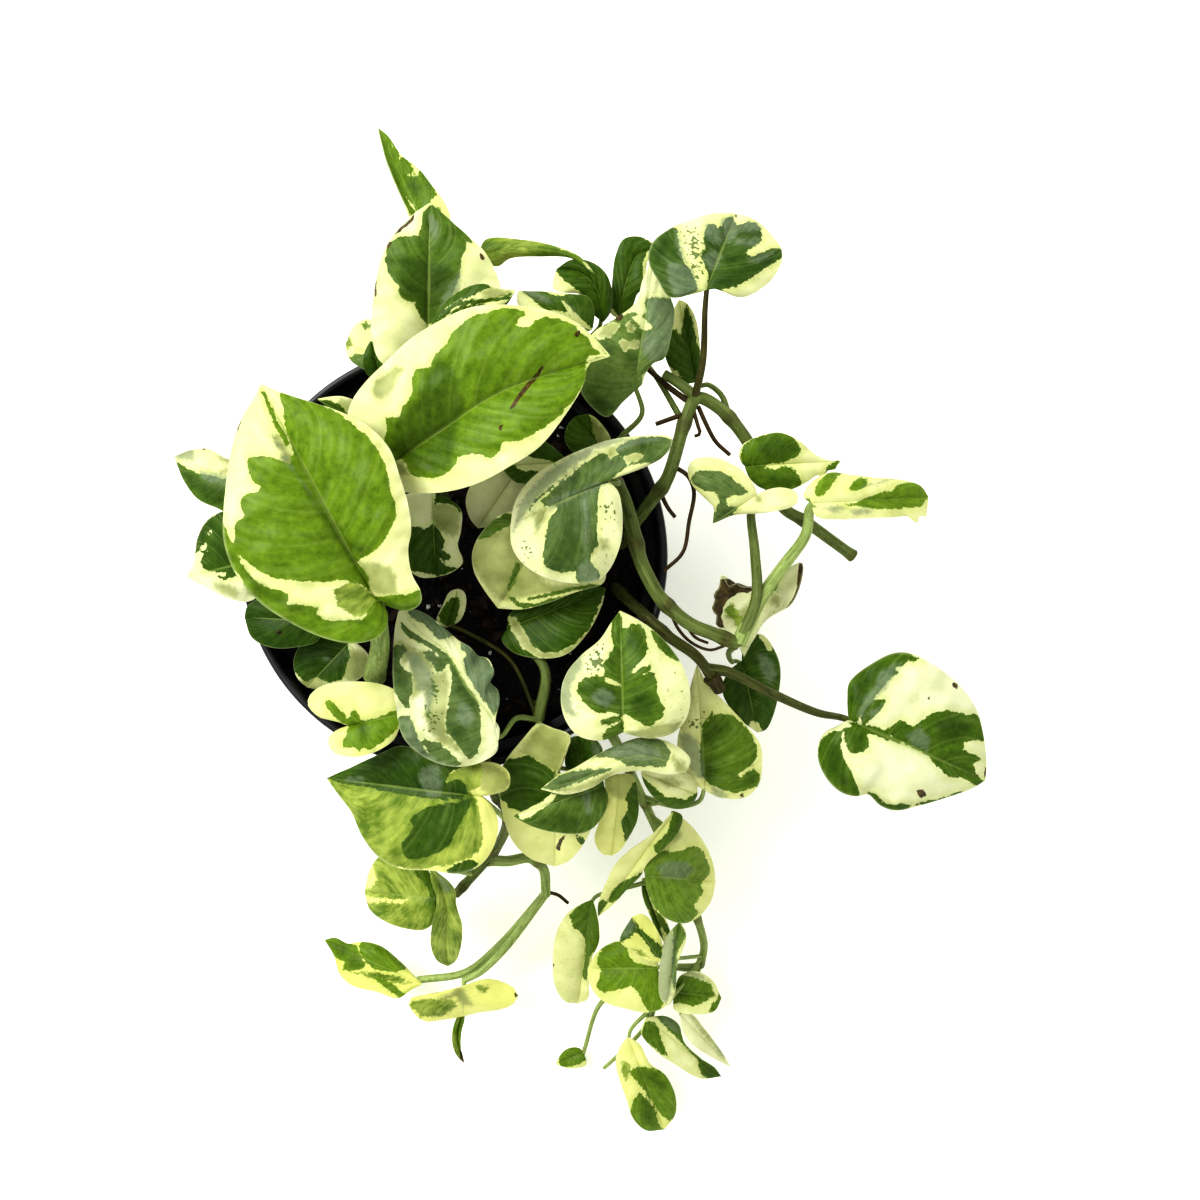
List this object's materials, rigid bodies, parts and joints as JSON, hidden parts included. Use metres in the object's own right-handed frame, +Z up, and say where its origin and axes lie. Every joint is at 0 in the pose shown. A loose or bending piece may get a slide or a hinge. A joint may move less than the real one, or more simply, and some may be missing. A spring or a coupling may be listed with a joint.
{
  "type": "potted variegated pothos",
  "caption": "Variegated trailing house plant in a black nursery pot, leaves crowding over the rim, two vines trailing down to the surface it stands on.",
  "frame": {"origin": "middle of the pot's underside, on the surface that the pot stands on", "axes": "+Z up out of the pot; -Y towards the side where the two longest vines trail down to the surface; +X towards the side of the two long-stalked leaves that stand out past the rim"},
  "size_m": [0.294, 0.399, 0.1699],
  "materials": {
    "pot": "moulded black polypropylene with a soft sheen",
    "soil": "damp dark peat mix with white perlite grains",
    "vine": "smooth green stem with brown nodes and stubs",
    "leaf": "waxy leaf, cream and green in hard-edged patches"
  },
  "bodies": {
    "root": {"pot": "pot", "soil": "soil", "back_vine": "vine", "crown_vine": "vine", "front_left_vine": "vine", "front_right_vine": "vine", "front_vine": "vine", "left_vine": "vine", "long_vine": "vine", "middle_vine": "vine", "right_vine": "vine", "top_vine": "vine", "back_leaf_1": "leaf", "back_leaf_2": "leaf", "back_leaf_3": "leaf", "back_leaf_4": "leaf", "crown_leaf_1": "leaf", "crown_leaf_2": "leaf", "front_leaf_1": "leaf", "front_leaf_2": "leaf", "front_leaf_3": "leaf", "front_leaf_4": "leaf", "front_left_leaf_1": "leaf", "front_left_leaf_2": "leaf", "front_left_leaf_3": "leaf", "front_left_leaf_4": "leaf", "front_left_leaf_5": "leaf", "front_right_leaf_1": "leaf", "front_right_leaf_2": "leaf", "front_right_leaf_3": "leaf", "front_right_leaf_4": "leaf", "front_right_leaf_5": "leaf", "front_right_leaf_6": "leaf", "front_right_leaf_7": "leaf", "front_right_leaf_8": "leaf", "front_right_leaf_9": "leaf", "front_right_leaf_10": "leaf", "front_right_leaf_11": "leaf", "left_leaf_1": "leaf", "left_leaf_2": "leaf", "left_leaf_3": "leaf", "left_leaf_4": "leaf", "long_leaf_1": "leaf", "long_leaf_2": "leaf", "middle_leaf_1": "leaf", "middle_leaf_2": "leaf", "middle_leaf_3": "leaf", "middle_leaf_4": "leaf", "right_leaf_1": "leaf", "right_leaf_2": "leaf", "right_leaf_3": "leaf", "right_leaf_4": "leaf", "right_leaf_5": "leaf", "right_leaf_6": "leaf", "right_leaf_7": "leaf", "right_leaf_8": "leaf", "top_leaf_1": "leaf", "top_leaf_2": "leaf", "top_leaf_3": "leaf", "top_leaf_4": "leaf"}
  },
  "joints": []
}
